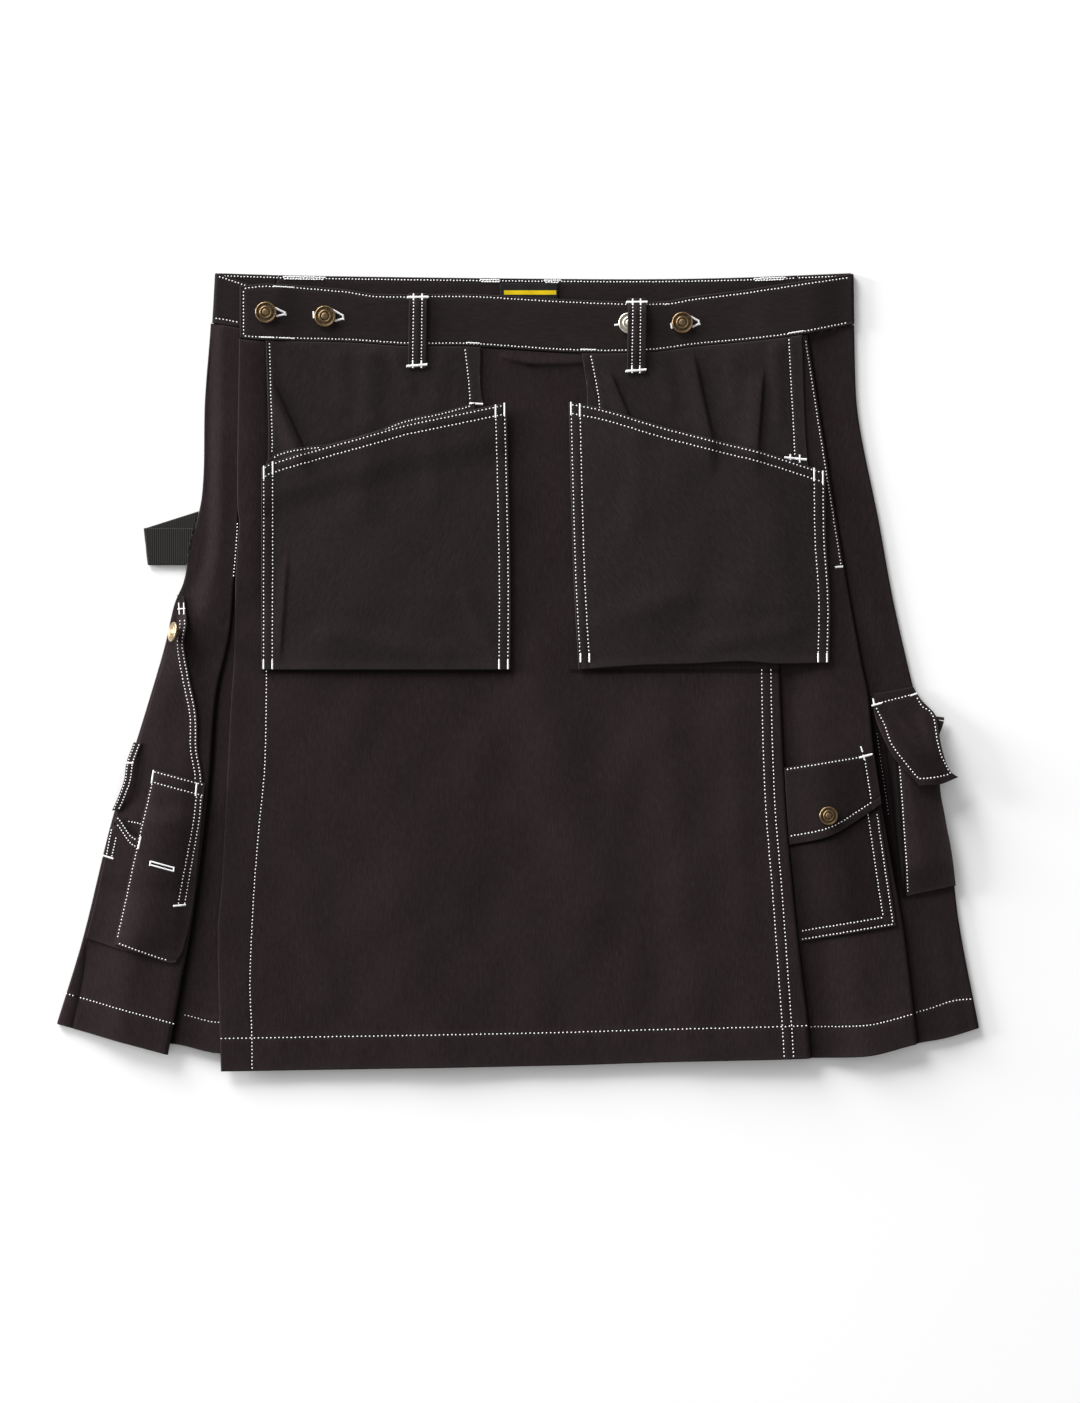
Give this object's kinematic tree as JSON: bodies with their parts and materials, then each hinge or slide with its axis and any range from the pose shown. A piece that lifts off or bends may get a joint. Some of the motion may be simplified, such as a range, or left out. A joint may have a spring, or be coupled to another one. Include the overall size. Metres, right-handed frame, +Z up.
{
  "type": "utility kilt",
  "caption": "Heavy cotton wrap kilt with a buttoned waistband, deep hip pockets, flapped side pockets and pleated sides, laid flat.",
  "frame": {"origin": "middle of the laid garment's box, on the surface it lies on", "axes": "+X across the garment, towards its right side as seen from above; +Y from hem to waist; +Z up from the surface"},
  "size_m": [0.7341, 0.6351, 0.0211],
  "materials": {
    "body_cloth": "washed black cotton twill, faintly brown",
    "pocket_cloth": "black cotton canvas, a little greyer and smoother",
    "webbing": "ribbed black webbing",
    "label": "black woven label with a plain yellow strip",
    "antique_brass": "worn antique brass"
  },
  "bodies": {
    "root": {"back_panel": "body_cloth", "under_apron": "body_cloth", "left_pleat_panel": "body_cloth", "right_side_panel": "body_cloth", "right_pleat_panel": "body_cloth", "front_apron": "body_cloth", "back_waistband": "body_cloth", "inner_waistband": "body_cloth", "front_waistband": "body_cloth", "belt_loop_left": "body_cloth", "belt_loop_right": "body_cloth", "left_pocket_backing": "pocket_cloth", "left_pocket_lip": "pocket_cloth", "left_pocket_pouch": "pocket_cloth", "right_pocket_backing": "pocket_cloth", "right_pocket_pouch": "pocket_cloth", "cargo_pocket": "body_cloth", "cargo_flap": "body_cloth", "side_pocket": "body_cloth", "side_flap": "body_cloth", "side_facing": "body_cloth", "tool_pocket": "body_cloth", "ruler_pocket": "body_cloth", "side_loop": "body_cloth", "webbing_loop": "webbing", "waistband_label": "label", "waist_button_left_outer": "antique_brass", "waist_button_left_inner": "antique_brass", "waist_button_right_inner": "antique_brass", "waist_button_right_outer": "antique_brass", "cargo_flap_button": "antique_brass", "knife_button": "antique_brass"}
  },
  "joints": []
}
